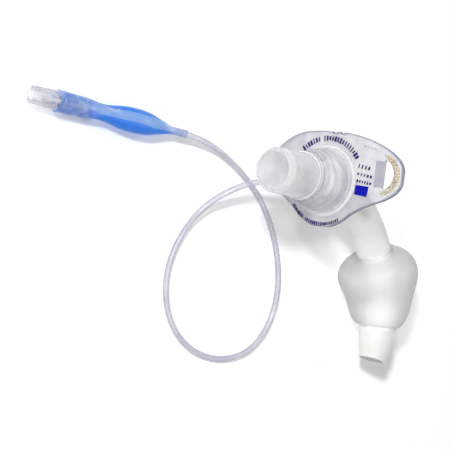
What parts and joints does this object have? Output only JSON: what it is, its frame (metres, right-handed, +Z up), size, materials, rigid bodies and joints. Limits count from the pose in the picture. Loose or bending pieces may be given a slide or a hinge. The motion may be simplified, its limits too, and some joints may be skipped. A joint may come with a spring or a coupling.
{
  "type": "tracheostomy tube",
  "caption": "Bent white breathing tube with a tapered cuff, a swept clear neck flange, a connector with a removable inner cannula, and an inflation line with a blue pilot balloon and valve.",
  "frame": {"origin": "on the table, under the middle of the tube's box without the inflation line and what is on it", "axes": "+Z up from the table the tube lies on, -Y the way the connector faces along the table, +X towards the tube's tip"},
  "size_m": [0.0823, 0.1531, 0.0508],
  "materials": {
    "white_pvc": "satin white soft vinyl",
    "clear_hub": "clear moulded plastic",
    "clear_pvc": "clear soft vinyl with a lavender cast",
    "cuff_film": "thin translucent film",
    "inner_plastic": "translucent white",
    "connector_plastic": "translucent white moulding",
    "line_pvc": "clear tubing with a lavender cast",
    "balloon_blue": "translucent blue film",
    "valve_clear": "clear moulded plastic",
    "valve_white": "white moulded plastic",
    "seal_rubber": "dark elastomer",
    "spring_steel": "drawn wire"
  },
  "bodies": {
    "tube": {"outer_cannula": "white_pvc", "hub": "clear_hub", "neck_flange": "clear_pvc", "cuff": "cuff_film", "inflation_line": "line_pvc", "pilot_balloon": "balloon_blue", "valve_housing": "valve_clear", "valve_retainer": "valve_white", "valve_spring": "spring_steel"},
    "inner": {"inner_cannula": "inner_plastic", "connector": "connector_plastic"},
    "plunger": {"valve_plunger": "valve_white", "valve_seal": "seal_rubber"}
  },
  "joints": [
    {"name": "inner_withdraw", "type": "hinge", "parent": "tube", "child": "inner", "pos_m": [0.02662, -0.01439, 0.02881], "axis": [0, 0.3359, 0.9419], "range_deg": [0, 96]},
    {"name": "valve_press", "type": "slide", "parent": "tube", "child": "plunger", "axis": [0.0684, 0.9975, 0.0171], "range_m": [0, 0.0015], "stiffness_N_per_m": 300, "springref_m": -0.0015, "deforming": ["valve_spring"]}
  ]
}
